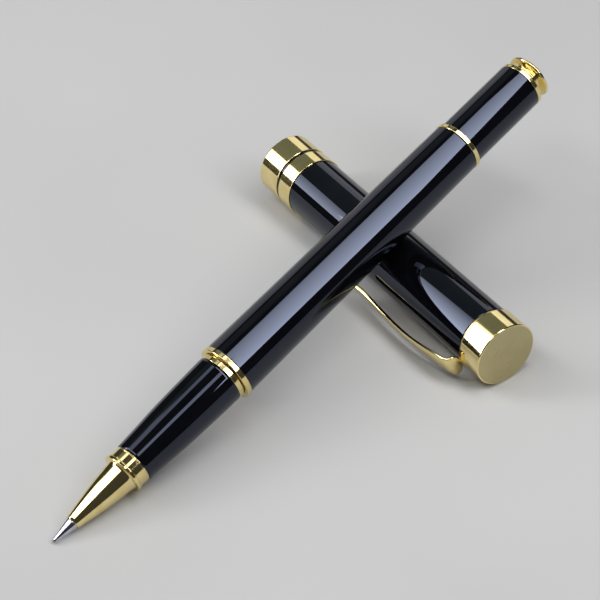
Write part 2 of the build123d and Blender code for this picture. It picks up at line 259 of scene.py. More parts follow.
def gold_face(line):
    """The crown's flat end: gold with fine concentric turning marks that soften its shine, on a darker gold base
    colour that is painted shade.
    """
    gold = Shader("gold_face_turned_painted_shade", line, Metallic=1.0, IOR=1.5)
    rings = gold.line_noise(gold.radial(), 26000, detail=5)
    cloud = gold.noise(350, detail=3)
    # painted shade: the face's gold is much darker than the plate's own colour, standing in for the dimmer light
    # on the flat end
    gold.base(gold.colours(cloud, (0.53, 0.46, 0.25), (0.57, 0.495, 0.27)))
    gold.rough(gold.spread(rings, 0.24, 0.34))
    gold.relief((rings, 0.0000011), (gold.noise(5200, detail=3), 0.0000003))
    return gold.material


def black_lacquer(line):
    """Deep black lacquer: a clear glossy skin with a slight orange peel and hairline wear."""
    cool_tint = (0.63, 0.72, 1.0, 1.0)
    lacquer = Shader(
        "black_lacquer_gloss", line, IOR=1.5, Specular_IOR_Level=0.62, Specular_Tint=cool_tint,
    )
    depth = lacquer.noise(160, detail=3)
    lacquer.base(lacquer.colours(depth, (0.0015, 0.0015, 0.0021), (0.0030, 0.0030, 0.0042)))
    hairlines = lacquer.noise((900, 900, 60), detail=5, roughness=0.7)
    lacquer.rough(lacquer.spread(hairlines, 0.022, 0.05, 0.45, 0.75))
    peel = lacquer.noise(520, detail=2)
    lacquer.relief((peel, 0.0000008))
    return lacquer.material


def turned_steel(line):
    """Turned stainless point: close rings round the axis and a grey, slightly uneven polish."""
    steel = Shader("steel_point_turned", line, Metallic=1.0)
    rings = steel.line_noise(steel.station(), 14000, detail=5)
    steel.base(steel.colours(steel.noise(700), (0.54, 0.54, 0.62), (0.68, 0.68, 0.77)))
    steel.rough(steel.spread(rings, 0.09, 0.17))
    steel.relief((rings, 0.0000005))
    return steel.material


def ground_carbide(line):
    """Ground tungsten carbide: dark grey, close-grained, with a polish that still shows the grain."""
    ball = Shader("carbide_ground", line, Metallic=1.0)
    grain = ball.noise(16000, detail=4)
    ball.base(ball.colours(grain, (0.26, 0.26, 0.29), (0.40, 0.40, 0.43)))
    ball.rough(ball.spread(grain, 0.16, 0.30))
    ball.relief((grain, 0.0000006))
    return ball.material


def plain_brass(line):
    """Unplated turned brass: tool rings, and dull brown patches where it has aged."""
    brass = Shader("brass_turned", line, Metallic=1.0)
    rings = brass.line_noise(brass.station(), 7000, detail=5)
    age = brass.noise(260, detail=5, roughness=0.65)
    brass.base(brass.colours(age, (0.44, 0.31, 0.13), (0.74, 0.57, 0.27), 0.3, 0.6))
    brass.rough(brass.spread(brass.combine(rings, age, "ADD"), 0.42, 0.2, 0.7, 1.3))
    brass.relief((rings, 0.000003), (age, 0.000002))
    return brass.material


def moulded_plastic(line):
    """Moulded plastic: a fine spark-eroded grain with shinier, paler worn spots."""
    plastic = Shader("plastic_moulded", line, IOR=1.5)
    grain = plastic.noise(6500, detail=3)
    wear = plastic.noise(300, detail=4)
    plastic.base(plastic.colours(wear, (0.016, 0.016, 0.018), (0.032, 0.032, 0.036)))
    plastic.rough(plastic.spread(wear, 0.5, 0.34))
    plastic.relief((grain, 0.000006), (wear, 0.000004))
    return plastic.material


def drawn_tube(line):
    """Drawn metal refill tube: long faint die lines and a soft grey sheen."""
    tube = Shader("refill_tube_drawn", line, Metallic=1.0)
    die_lines = tube.noise((2600, 2600, 25), detail=4)
    tube.base(tube.colours(die_lines, (0.50, 0.51, 0.54), (0.66, 0.67, 0.70)))
    tube.rough(tube.spread(die_lines, 0.22, 0.38))
    tube.relief((die_lines, 0.000002))
    return tube.material


def ink_fibre(line):
    """Bundle of fibres soaked with blue-black ink."""
    fibre = Shader("ink_fibre_bundle", line, IOR=1.4)
    strands = fibre.noise((5200, 5200, 90), detail=4)
    soak = fibre.noise(120, detail=3)
    ink = fibre.combine(strands, soak, "ADD")
    fibre.base(fibre.colours(ink, (0.006, 0.008, 0.05), (0.07, 0.09, 0.26), 0.8, 1.0))
    fibre.rough(fibre.spread(strands, 0.6, 0.9))
    fibre.relief((strands, 0.00002))
    return fibre.material


def spring_wire(line):
    """Drawn spring steel, faintly oiled."""
    wire = Shader("spring_wire_drawn", line, Metallic=1.0)
    film = wire.noise(1800, detail=4)
    wire.base(wire.colours(film, (0.46, 0.46, 0.47), (0.62, 0.62, 0.62)))
    wire.rough(wire.spread(film, 0.2, 0.36))
    wire.relief((film, 0.000002))
    return wire.material


def seal_rubber(line):
    """Black nitrile rubber with a dusty bloom."""
    rubber = Shader("seal_rubber_dull", line, IOR=1.5)
    bloom = rubber.noise(2400, detail=5)
    rubber.base(rubber.colours(bloom, (0.010, 0.010, 0.010), (0.035, 0.034, 0.033)))
    rubber.rough(rubber.spread(bloom, 0.62, 0.85))
    rubber.relief((bloom, 0.000008))
    return rubber.material


finished = {}


def painted(finish, line):
    """A finish's material for the pieces on one line, made when it is first asked for."""
    key = finish, tuple(line.translation)
    if key not in finished:
        finished[key] = finish(line)
    return finished[key]


# ---------------------------------------------------------------- mesh building


def smooth_run(points, per_span=8):
    """A smooth curve through (station, radius) points, as many close points."""
    flat = [Vector((s, r, 0)) for s, r in points]
    last = len(flat) - 1
    slopes = []
    for i in range(len(flat)):
        spans = 1 if i in (0, last) else 2
        slopes.append((flat[min(i + 1, last)] - flat[max(i - 1, 0)]) / spans)
    run = []
    for i in range(last):
        knots = (flat[i], flat[i] + slopes[i] / 3, flat[i + 1] - slopes[i + 1] / 3, flat[i + 1])
        run += [(p.x, p.y) for p in interpolate_bezier(*knots, per_span + 1)[:-1]]
    return run + [tuple(points[-1])]


def arc_run(centre, radius, first_degrees, last_degrees, steps=10):
    """Points on an arc, with 0 degrees toward larger stations and 90 degrees outward."""
    sweep = last_degrees - first_degrees
    turns = [math.radians(first_degrees + sweep * i / steps) for i in range(steps + 1)]
    return [(centre[0] + radius * math.cos(a), centre[1] + radius * math.sin(a)) for a in turns]


def rounded(points):
    """An outline with its corners rounded: a point may carry a third number, its corner's radius.
    A point is added just outside each end of a rounding, so that the flats beside it stay flat in
    shading."""
    out = []
    for i, point in enumerate(points):
        here = Vector(point[:2])
        if len(point) < 3:
            out.append(tuple(here))
            continue
        back = Vector(points[i - 1][:2]) - here
        ahead = Vector(points[(i + 1) % len(points)][:2]) - here
        half_turn = back.angle(ahead) / 2
        longest = LARGEST_CUT * min(back.length, ahead.length)
        cut = min(point[2] / math.tan(half_turn), longest)
        radius = cut * math.tan(half_turn)
        back.normalize()
        ahead.normalize()
        centre = here + (back + ahead).normalized() * (radius / math.sin(half_turn))
        first = (here + back * cut - centre).normalized()
        last = (here + ahead * cut - centre).normalized()
        out.append(tuple(here + back * cut * SUPPORT_REACH))
        for step in range(FILLET_STEPS + 1):
            out.append(tuple(centre + first.slerp(last, step / FILLET_STEPS) * radius))
        out.append(tuple(here + ahead * cut * SUPPORT_REACH))
    return out


def make_piece(bm, name, node, body, line, finishes, space=None):
    """The mesh is drawn in the line's space, or in one of its own where that is given, and the
    finishes' patterns lie in the line's."""
    bmesh.ops.recalc_face_normals(bm, faces=bm.faces)
    mesh = bpy.data.meshes.new(name)
    bm.to_mesh(mesh)
    bm.free()
    mesh.transform(space or line)
    mesh.shade_smooth()
    mesh.set_sharp_from_angle(angle=SHARP_ANGLE)
    for finish in finishes:
        mesh.materials.append(painted(finish, line))
    piece = bpy.data.objects.new(name, mesh)
    bpy.context.scene.collection.objects.link(piece)
    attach(piece, body)
    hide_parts(node)
    return piece


def turned(
    name, node, body, line, outline, finishes,
    steps=RING_STEPS, finish_of=None, radius_of=None,
):
    """A solid of revolution from a closed outline. A point at radius 0 is a single point on the axis.
    finish_of(station, radius) picks a face's finish by number, and radius_of(station, radius, angle)
    gives a point's own radius, for threads, flutes and ribs."""
    bm = bmesh.new()
    rings = []
    for station, radius in outline:
        if radius < ON_AXIS:
            rings.append([bm.verts.new((0, 0, station * MM))])
            continue
        ring = []
        for i in range(steps):
            angle = 2 * math.pi * i / steps
            r = radius_of(station, radius, angle) if radius_of else radius
            across, up = r * MM * math.cos(angle), r * MM * math.sin(angle)
            ring.append(bm.verts.new((across, up, station * MM)))
        rings.append(ring)
    for k, ring in enumerate(rings):
        following = rings[(k + 1) % len(rings)]
        if len(ring) == 1 and len(following) == 1:
            continue
        middle = [(outline[k][n] + outline[(k + 1) % len(outline)][n]) / 2 for n in (0, 1)]
        for i in range(steps):
            j = (i + 1) % steps
            if len(ring) == 1:
                corners = (ring[0], following[i], following[j])
            elif len(following) == 1:
                corners = (ring[i], ring[j], following[0])
            else:
                corners = (ring[i], ring[j], following[j], following[i])
            face = bm.faces.new(corners)
            face.material_index = finish_of(*middle) if finish_of else 0
    return make_piece(bm, name, node, body, line, finishes)


# ---------------------------------------------------------------- refill


def build_writing_ball():
    start, end, radius = reach("writing_ball", PEN)
    half_circle = arc_run(((start + end) / 2, 0), radius, 180, 0, 24)
    outline = [(start, 0), *half_circle[1:-1], (end, 0)]
    return turned(
        "WritingBall", "writing_ball", "ball", PEN, outline, [ground_carbide], steps=48
    )


def build_refill_point():
    """Steel point with its lip rolled over the ball, a step behind the lip and a long stem."""
    start, end, radius = reach("refill_point", PEN)
    ball = ball_radius / MM
    socket = ball + 0.012
    cone_end, stem_end, spigot, channel = 4.3, 12.0, 0.95, 0.2
    lip_angle = math.degrees(math.acos((ball - start) / socket))
    outline = rounded([
        (start, 0.41, 0.04), (start + 0.32, 0.44, 0.05), (start + 0.36, 0.42, 0.03),
        (start + 0.62, 0.46, 0.05), (cone_end, radius, 0.3), (stem_end, radius, 0.05),
        (stem_end + 0.02, spigot, 0.03), (end, spigot, 0.05), (end, channel),
        (2 * ball + 0.2, channel), *arc_run((ball, 0), socket, 32, 180 - lip_angle, 12),
    ])
    return turned("RefillPoint", "refill_point", "refill", PEN, outline, [turned_steel])


def build_refill_adaptor():
    """Plastic holder with a seating shoulder, and a barbed plug that grips the tube."""
    start, end, radius = reach("refill_adaptor", PEN)
    nose, shank, plug, barb = 1.6, 2.3, 2.66, 2.74
    shoulder, plug_start = 22.05, 24.0
    point_bore, point_end, channel = 0.98, 16.1, 0.42
    barbs = []
    for i in range(3):
        at = end - 4.0 + i * 1.1
        barbs += [(at, plug, 0.05), (at + 0.45, barb, 0.05), (at + 0.5, plug, 0.05)]
    outline = rounded([
        (start, point_bore, 0.05), (start, nose - 0.15, 0.1), (start + 0.3, nose, 0.1),
        (12.9, nose, 0.1), (13.7, shank, 0.15), (shoulder, shank, 0.05), (shoulder, radius, 0.12),
        (plug_start, radius, 0.08), (plug_start, plug, 0.03), *barbs, (end - 0.4, plug, 0.1),
        (end, 2.5, 0.1), (end, channel), (point_end, channel), (point_end, point_bore),
    ])
    return turned(
        "RefillAdaptor", "refill_adaptor", "refill", PEN, outline, [moulded_plastic]
    )


def build_refill_tube():
    """Metal tube with a crimped groove near each end."""
    start, end, radius = reach("refill_tube", PEN)
    inner, crimp = 2.76, radius - 0.09
    outline = rounded([
        (start, inner, 0.04), (start, radius, 0.12), (start + 2.2, radius), (start + 2.5, crimp, 0.1),
        (start + 2.8, radius), (end - 2.8, radius), (end - 2.5, crimp, 0.1), (end - 2.2, radius),
        (end, radius, 0.12), (end, inner, 0.04),
    ])
    return turned("RefillTube", "refill_tube", "refill", PEN, outline, [drawn_tube])


def build_ink_reservoir():
    """Fibre rod with shallow flutes along its skin."""
    start, end, radius = reach("ink_reservoir", PEN)
    flutes, depth = 24, 0.05

    def fluted(_station, r, angle):
        return r - depth * (0.5 + 0.5 * math.cos(flutes * angle)) if r > radius - 0.5 else r

    outline = rounded([(start, 0), (start, radius, 0.25), (end, radius, 0.25), (end, 0)])
    return turned(
        "InkReservoir", "ink_reservoir", "refill", PEN, outline, [ink_fibre],
        radius_of=fluted,
    )


def build_refill_plug():
    start, end, radius = reach("refill_plug", PEN)
    plug, head_start, dimple_floor = 2.74, 107.52, end - 1.2
    outline = rounded([
        (start, 0), (start, 2.5, 0.1), (start + 0.4, plug, 0.1), (head_start, plug),
        (head_start, radius, 0.12), (end, radius, 0.4), (end, 1.6, 0.15), (dimple_floor, 1.5, 0.1),
        (dimple_floor, 0),
    ])
    return turned("RefillPlug", "refill_plug", "refill", PEN, outline, [moulded_plastic])


def build_refill_spring():
    """A coil of round wire whose turns close up toward both ends."""
    start, end, radius = reach("refill_spring", PEN)
    wire, turns, sides, per_turn, closing = 0.22, 6, 10, 40, 0.75
    coil, first, last = radius - wire, start + wire, end - wire
    count = turns * per_turn
    bm = bmesh.new()
    rings = []
    for i in range(count + 1):
        share = i / count
        angle = 2 * math.pi * turns * share
        eased = share - closing / (2 * math.pi) * math.sin(2 * math.pi * share)
        station = first + (last - first) * eased
        centre = Vector((coil * math.cos(angle), coil * math.sin(angle), station))
        outward = Vector((math.cos(angle), math.sin(angle), 0))
        rings.append([
            bm.verts.new((centre + (outward * math.cos(b) + Vector((0, 0, 1)) * math.sin(b)) * wire) * MM)
            for b in (2 * math.pi * k / sides for k in range(sides))
        ])
    for near, far in zip(rings, rings[1:]):
        for k in range(sides):
            bm.faces.new((near[k], near[(k + 1) % sides], far[(k + 1) % sides], far[k]))
    bm.faces.new(rings[0])
    bm.faces.new(rings[-1])
    piece = make_piece(
        bm, "RefillSpring", "refill_spring", "tail_spring", PEN, [spring_wire]
    )
    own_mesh(piece)
    return piece


# ---------------------------------------------------------------- section


THREAD_START, THREAD_PITCH, THREAD_TURNS = 43.0, 1.0, 6
THREAD_END = THREAD_START + THREAD_TURNS * THREAD_PITCH
CREST_LEVEL, FLANK_SLOPE = 1.35, 3.1


def helix_height(station, angle):
    """0 at a thread's root and 1 at its crest, fading out over half a pitch at both ends."""
    turn = (station - THREAD_START) / THREAD_PITCH - angle / (2 * math.pi)
    crest = min(1.0, max(0.0, CREST_LEVEL - FLANK_SLOPE * abs((turn % 1.0) - 0.5)))
    inside = min(station - THREAD_START, THREAD_END - station) / THREAD_PITCH
    return crest * min(1.0, max(0.0, inside * 2))


def thread_run(radius, steps_per_pitch=14):
    """Close points along the thread's length, at one radius."""
    count = THREAD_TURNS * steps_per_pitch
    return [(THREAD_START + THREAD_PITCH * i / steps_per_pitch, radius) for i in range(count + 1)]


def build_nose_cone():
    """Slightly bellied gold cone with a thin flange at its back, and the spigot that enters the grip."""
    start, end, radius = reach("nose_cone", PEN)
    flange, back, spigot = 16.1, 16.75, 3.05
    hole, waist, bore = 1.18, 1.75, 2.45
    cone = smooth_run([(start + 0.12, 1.315), (8.8, 2.1), (12.0, 2.6), (15.8, 3.04)], 12)
    outline = rounded([
        (start, hole, 0.04), (start, 1.26, 0.05), *cone, (flange - 0.08, 3.14, 0.1),
        (flange, 3.3, 0.1), (flange, radius, 0.13), (back, radius, 0.10), (back, spigot),
        (end, spigot, 0.15), (end, bore, 0.1), (13.6, bore), (13.0, waist), (8.6, waist), (8.2, hole),
    ])
    return turned("NoseCone", "nose_cone", "section", PEN, outline, [gold_plate])


def build_nose_collar():
    """Plain gold collar with a hairline groove before its back edge."""
    start, end, radius = reach("nose_collar", PEN)
    bore, lip = 3.07, end - 0.2
    outline = rounded([
        (start, bore), (start, radius - 0.1, 0.05), (start + 0.1, radius, 0.06),
        (lip - 0.1, radius, 0.02), (lip - 0.05, radius - 0.06, 0.02), (lip, radius, 0.03),
        (end, radius, 0.06), (end, bore),
    ])
    return turned("NoseCollar", "nose_collar", "section", PEN, outline, [gold_plate])


def build_grip():
    """Lacquered grip that widens steadily from the collar to the trim ring."""
    start, end, _ = reach("grip_section", PEN)
    spigot_bore, spigot_end, bore = 3.07, 22.3, 3.2
    sleeve_bore, sleeve_start = 3.64, 33.45
    skin = smooth_run([
        (start + 0.14, 3.80), (23.0, 4.02), (27.0, 4.28), (31.0, 4.44), (35.0, 4.55),
        (end - 0.12, 4.64),
    ], 12)
    outline = rounded([
        (start, spigot_bore), (start, 3.70, 0.06), *skin, (end, 4.56, 0.06), (end, sleeve_bore),
        (sleeve_start, sleeve_bore), (sleeve_start, bore), (spigot_end, bore),
        (spigot_end, spigot_bore),
    ])
    return turned("GripSection", "grip_section", "section", PEN, outline, [black_lacquer])


def build_section_sleeve():
    """Brass sleeve with the helical thread that the barrel screws onto."""
    start, end, _ = reach("section_sleeve", PEN)
    root, crest, bore, skin, neck = 3.5, 3.93, 3.15, 3.62, 3.72
    flange, flange_start, flange_end = 4.38, 40.5, 40.73
    groove, groove_start, groove_end = 3.42, 41.2, 42.0

    def threaded(station, radius, angle):
        return root + (crest - root) * helix_height(station, angle) if radius == root else radius

    outline = rounded([
        (start, bore, 0.05), (start, skin, 0.1), (flange_start, skin), (flange_start, flange, 0.06),
        (flange_end, flange, 0.06), (flange_end, neck), (groove_start, neck, 0.04),
        (groove_start, groove), (groove_end, groove), (groove_end, neck, 0.04),
        (THREAD_START - 0.35, neck, 0.05), (THREAD_START - 0.15, root + 0.01, 0.05), *thread_run(root),
        (THREAD_END + 0.08, root - 0.01, 0.03), (end, 3.38, 0.06), (end, bore, 0.05),
    ])
    return turned(
        "SectionSleeve", "section_sleeve", "section", PEN, outline, [plain_brass],
        steps=120, radius_of=threaded,
    )


def build_seal_ring():
    start, end, radius = reach("seal_ring", PEN)
    cord = (end - start) / 2
    outline = arc_run(((start + end) / 2, radius - cord), cord, 0, 345, 23)
    return turned("SealRing", "seal_ring", "section", PEN, outline, [seal_rubber])


def build_section_trim_ring():
    """Flat band whose back edge laps over the sleeve's flange and leaves a hairline before the barrel."""
    start, end, radius = reach("section_trim_ring", PEN)
    bore, lap_end, flange_top = 3.64, end + 0.16, 4.40
    outline = rounded([
        (start, bore), (start, radius, 0.06), (lap_end, radius, 0.06), (lap_end, flange_top),
        (end, flange_top), (end, bore),
    ])
    return turned(
        "SectionTrimRing", "section_trim_ring", "section", PEN, outline, [gold_plate]
    )


# ---------------------------------------------------------------- barrel


BUSH_SEAT_RADIUS = 4.56


def build_barrel_trim_ring():
    start, end, radius = reach("barrel_trim_ring", PEN)
    top = radius - 0.02
    outline = rounded([
        (start, BUSH_SEAT_RADIUS), (start, top, 0.12), (end, top, 0.07), (end, BUSH_SEAT_RADIUS),
    ])
    return turned("BarrelTrimRing", "barrel_trim_ring", "barrel", PEN, outline, [gold_plate])


def build_barrel_bush():
    """Brass bush with a helical thread cut into its bore."""
    start, end, radius = reach("barrel_bush", PEN)
    bore, depth = 3.98, 0.3
    root = bore + depth

    def threaded(station, r, angle):
        return bore + depth * (1 - helix_height(station, angle)) if r == root else r

    thread = thread_run(root)[::-1]
    outline = rounded([
        (start, bore, 0.08), (start, radius, 0.05), (end, radius, 0.1), (end, bore, 0.08),
        (THREAD_END + 0.1, bore), *thread, (THREAD_START - 0.1, bore),
    ])
    return turned(
        "BarrelBush", "barrel_bush", "barrel", PEN, outline, [plain_brass],
        steps=120, radius_of=threaded,
    )


def build_barrel_tube():
    start, end, front_radius = reach("barrel_tube", PEN)
    back_radius, bore, seat_end = 4.77, 4.2, 50.6
    outline = rounded([
        (start, BUSH_SEAT_RADIUS), (start, front_radius, 0.1), (end, back_radius, 0.1),
        (end, bore), (seat_end, bore), (seat_end, BUSH_SEAT_RADIUS),
    ])
    return turned("BarrelTube", "barrel_tube", "barrel", PEN, outline, [black_lacquer])


def build_barrel_ring():
    start, end, radius = reach("barrel_ring", PEN)
    bore = 4.0
    outline = rounded([(start, bore), (start, radius, 0.12), (end, radius, 0.12), (end, bore)])
    return turned("BarrelRing", "barrel_ring", "barrel", PEN, outline, [gold_plate])


def build_tail_connector():
    start, end, radius = reach("tail_connector", PEN)
    shoulder, slim, bore = 99.62, 3.98, 3.3
    outline = rounded([
        (start, bore, 0.1), (start, radius, 0.15), (shoulder, radius, 0.05), (shoulder, slim),
        (end, slim, 0.15), (end, bore, 0.1),
    ])
    return turned("TailConnector", "tail_connector", "barrel", PEN, outline, [plain_brass])


def build_tail_tube():
    start, end, radius = reach("tail_tube", PEN)
    seat, seat_end, bore = 4.0, 106.2, 3.6
    outline = rounded([
        (start, seat), (start, radius, 0.08), (end, radius, 0.08), (end, bore), (seat_end, bore),
        (seat_end, seat),
    ])
    return turned("TailTube", "tail_tube", "barrel", PEN, outline, [black_lacquer])


def build_tail_plug():
    start, end, radius = reach("tail_plug", PEN)
    shoulder, neck, bore = 116.6, 2.98, 1.5
    outline = rounded([
        (start, bore, 0.05), (start, radius, 0.15), (shoulder, radius), (shoulder, neck),
        (end, neck, 0.05), (end, bore, 0.05),
    ])
    return turned("TailPlug", "tail_plug", "barrel", PEN, outline, [plain_brass])


def build_tail_ring():
    start, end, radius = reach("tail_ring", PEN)
    bore = 3.0
    outline = rounded([(start, bore), (start, radius, 0.07), (end, radius, 0.10), (end, bore)])
    return turned("TailRing", "tail_ring", "barrel", PEN, outline, [gold_plate])


def build_end_finial():
    """Gold button: a stud, a deep waisted neck, and a thin disc with a rolled rim and a domed end."""
    start, end, radius = reach("end_finial", PEN)
    stud, stud_tip, neck_start, rim_radius = 1.48, 1.36, 117.42, 0.32
    neck = smooth_run([
        (neck_start, 4.14), (117.6, 3.58), (117.9, 3.02), (118.3, 2.76), (118.7, 2.86), (118.92, 3.2),
    ], 8)
    rim = arc_run((119.3, radius - rim_radius), rim_radius, 178, 35, 12)
    dome = smooth_run([(119.62, 3.72), (119.88, 3.0), (120.16, 1.7), (end - 0.02, 0.6)], 6)
    outline = [
        (start, 0), (start, stud_tip), (start + 0.12, stud), (neck_start, stud), *neck, (118.97, 3.5),
        *rim, *dome, (end, 0),
    ]
    return turned("EndFinial", "end_finial", "barrel", PEN, outline, [gold_plate])


# ---------------------------------------------------------------- cap


def build_crown():
    """Thick gold disc with a fine round edge to its flat face, which has its own turned finish in a darker gold
    that is painted shade.
    """
    _, end, radius = reach("crown", CAP)
    edge, skirt_bore, boss, hollow_floor = 0.2, 4.9, 2.6, 1.6
    stud_bore, stud_floor = 1.52, 2.0
    outline = rounded([
        (0, 0), (0, radius * 0.33), (0, radius * 0.66), (0, radius, edge), (end, radius, 0.12),
        (end, skirt_bore), (hollow_floor, skirt_bore), (hollow_floor, boss), (end, boss),
        (end, stud_bore), (stud_floor, stud_bore), (stud_floor, 0),
    ])

    def by_place(station, r):
        return 1 if station < 0.001 and r < radius - edge else 0

    return turned(
        "CapTopDisc", "crown", "cap", CAP, outline, [gold_plate, gold_face],
        finish_of=by_place,
    )


def build_crown_stud():
    """Steel stud with a helical thread along its back half."""
    start, end, radius = reach("crown_stud", CAP)
    first, last, pitch, depth = 8.0, 13.4, 0.6, 0.25

    def threaded(station, r, angle):
        if r < radius or not first <= station <= last:
            return r
        turn = (station - first) / pitch - angle / (2 * math.pi)
        fade = min(1.0, (station - first) / pitch, (last - station) / pitch)
        return r - depth * fade * min(1.0, 2.2 * abs((turn % 1.0) - 0.5))

    count = round((last - first) / pitch) * 10
    run = [(first + (last - first) * i / count, radius) for i in range(count + 1)]
    outline = [
        (start, 0), (start, radius - 0.1), (start + 0.1, radius), *run,
        (end - 0.25, radius), (end, radius - 0.25), (end, 0),
    ]
    return turned(
        "CapTopStud", "crown_stud", "cap", CAP, outline, [spring_wire],
        steps=64, radius_of=threaded,
    )


def build_clip_ring():
    start, end, radius = reach("clip_ring", CAP)
    bore = 1.6
    outline = rounded([
        (start, bore, 0.04), (start, radius, 0.08), (end, radius, 0.08), (end, bore, 0.04),
    ])
    return turned("ClipRing", "clip_ring", "cap", CAP, outline, [plain_brass])


def build_cap_insert():
    """Brass plug with a slim waist, a blind bore for the stud and a shallow dimple in its back end."""
    start, end, radius = reach("cap_insert", CAP)
    bore, bore_end, waist, dimple_floor = 1.55, start + 7.0, 3.4, end - 0.5
    outline = rounded([
        (start, bore, 0.1), (start, radius, 0.2), (start + 3.0, radius, 0.15),
        (start + 3.6, waist, 0.15), (17.4, waist, 0.15), (18.0, radius, 0.15), (end, radius, 0.15),
        (end, 2.4, 0.2), (dimple_floor, 2.0, 0.1), (dimple_floor, 0), (bore_end, 0), (bore_end, bore),
    ])
    return turned("CapInsert", "cap_insert", "cap", CAP, outline, [plain_brass])


def build_inner_sleeve():
    """Plastic liner with a flared mouth and six shallow ribs that steady the nose."""
    start, end, radius = reach("inner_sleeve", CAP)
    bore, mouth, ribs, rib_height = 4.1, 4.55, 6, 0.06

    def ribbed(station, r, angle):
        if r > bore + 1e-6 or station > end - 1.5:
            return r
        return r - rib_height * max(0.0, math.cos(ribs * angle)) ** 6

    outline = rounded([
        (start, bore, 0.05), (start, radius, 0.1), (end, radius, 0.08), (end, mouth, 0.1),
        (end - 0.9, bore, 0.3), (end - 1.4, bore), (end - 1.7, bore), (start + 1.0, bore),
    ])
    return turned(
        "InnerSleeve", "inner_sleeve", "cap", CAP, outline, [moulded_plastic],
        radius_of=ribbed,
    )


def build_cap_tube():
    """Lacquered tube, bored wider for the liner, with a black ridge between the two bands' seats."""
    start, end, radius = reach("cap_tube", CAP)
    seat, bore, liner_bore, liner_end = 5.4, 4.75, 5.0, 42.5
    rear_band, ridge_start, ridge_end = 56.1, 59.5, 60.05
    outline = rounded([
        (start, liner_bore), (start, radius, 0.14), (rear_band, radius, 0.06), (rear_band, seat),
        (ridge_start, seat), (ridge_start, radius, 0.06), (ridge_end, radius, 0.06), (ridge_end, seat),
        (end, seat), (end, bore, 0.05), (liner_end, bore), (liner_end, liner_bore),
    ])
    return turned("CapTube", "cap_tube", "cap", CAP, outline, [black_lacquer])


BAND_SEAT_RADIUS = 5.42


def build_rear_mouth_band():
    start, end, radius = reach("rear_mouth_band", CAP)
    outline = rounded([
        (start, BAND_SEAT_RADIUS), (start, radius, 0.08), (end, radius, 0.12), (end, BAND_SEAT_RADIUS),
    ])
    return turned("RearMouthBand", "rear_mouth_band", "cap", CAP, outline, [gold_plate])


def build_front_mouth_band():
    """The wider band, whose lip folds over the end of the tube."""
    start, end, radius = reach("front_mouth_band", CAP)
    lip, lip_start = 4.78, end - 0.32
    outline = rounded([
        (start, BAND_SEAT_RADIUS), (start, radius, 0.12), (end, radius, 0.24), (end, lip, 0.12),
        (lip_start, lip, 0.05), (lip_start, BAND_SEAT_RADIUS),
    ])
    return turned("FrontMouthBand", "front_mouth_band", "cap", CAP, outline, [gold_plate])


# ---------------------------------------------------------------- clip


def clip_space():
    """The clip's own space: Z along the cap, Y from the cap's line toward the middle of the CAD clip's
    box, and X across the clip."""
    low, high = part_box("clip")
    centre = (low + high) / 2
    away = Vector((centre.x, 0, centre.z)) - Vector((CAP.translation.x, 0, CAP.translation.z))
    away.normalize()
    along = Vector(mount("cap_mouth")["axis"]).normalized()
    across = away.cross(along)
    return Matrix.Translation(CAP.translation) @ Matrix((across, away, along)).transposed().to_4x4()


def clip_profile(thick, crown):
    """(share of the half width, height) round one cross-section, before the mesh is smoothed."""
    top, edge = thick / 2, thick / 2 - 0.1
    upper = [
        (-1.0, edge * 0.55), (-0.93, top - 0.06), (-0.5, top + crown * 0.55), (0.0, top + crown),
        (0.5, top + crown * 0.55), (0.93, top - 0.06), (1.0, edge * 0.55),
    ]
    lower = [(1.0, -edge), (0.9, -top), (0.0, -top), (-0.9, -top)]
    return [(-1.0, -edge)] + [(share, up - crown) for share, up in upper] + lower


def build_clip():
    """Sprung clip: a flat foot, a hooked neck, a broad domed shoulder and a tapering arm that dips
    toward the cap and lifts again at its end."""
    # station, height of the middle line, half width, thickness, crown of the upper face
    sections = [
        (5.45, 5.70, 0.95, 0.68, 0.02), (5.45, 6.02, 1.00, 0.68, 0.02), (5.45, 6.26, 1.95, 0.68, 0.02),
        (5.45, 6.70, 2.36, 0.70, 0.03), (5.50, 7.20, 2.45, 0.74, 0.05), (5.72, 7.68, 2.48, 0.82, 0.10),
        (6.20, 8.04, 2.48, 0.90, 0.18), (7.1, 8.26, 2.44, 0.96, 0.28), (8.6, 8.44, 2.28, 0.98, 0.32),
        (10.8, 8.68, 1.94, 0.92, 0.30), (13.2, 8.90, 1.60, 0.84, 0.24), (16.0, 9.05, 1.34, 0.78, 0.20),
        (19.5, 9.05, 1.19, 0.76, 0.16), (23.5, 8.86, 1.15, 0.78, 0.14), (27.0, 8.62, 1.20, 0.86, 0.12),
        (29.6, 8.48, 1.28, 0.94, 0.10), (31.2, 8.48, 1.33, 0.96, 0.08), (32.36, 8.56, 1.35, 0.94, 0.06),
    ]
    bm = bmesh.new()
    rings = []
    for i, (station, height, half, thick, crown) in enumerate(sections):
        before, after = sections[max(i - 1, 0)], sections[min(i + 1, len(sections) - 1)]
        along = Vector((0, after[1] - before[1], after[0] - before[0])).normalized()
        out = Vector((0, along.z, -along.y))
        middle = Vector((0, height, station))
        rings.append([
            bm.verts.new((middle + out * level + Vector((share * half, 0, 0))) * MM)
            for share, level in clip_profile(thick, crown)
        ])
    for near, far in zip(rings, rings[1:]):
        for k in range(len(near)):
            bm.faces.new((near[k], near[(k + 1) % len(near)], far[(k + 1) % len(near)], far[k]))
    ends = [bm.faces.new(rings[0]), bm.faces.new(rings[-1])]
    crease, sharpness = bm.edges.layers.float.new("crease_edge"), 0.75
    for face in ends:
        for edge in face.edges:
            edge[crease] = sharpness
    piece = make_piece(bm, "Clip", "clip", "clip", CAP, [gold_plate], space=clip_space())
    smooth = piece.modifiers.new("smooth", "SUBSURF")
    smooth.levels = smooth.render_levels = 3
    return piece


# ---------------------------------------------------------------- the object


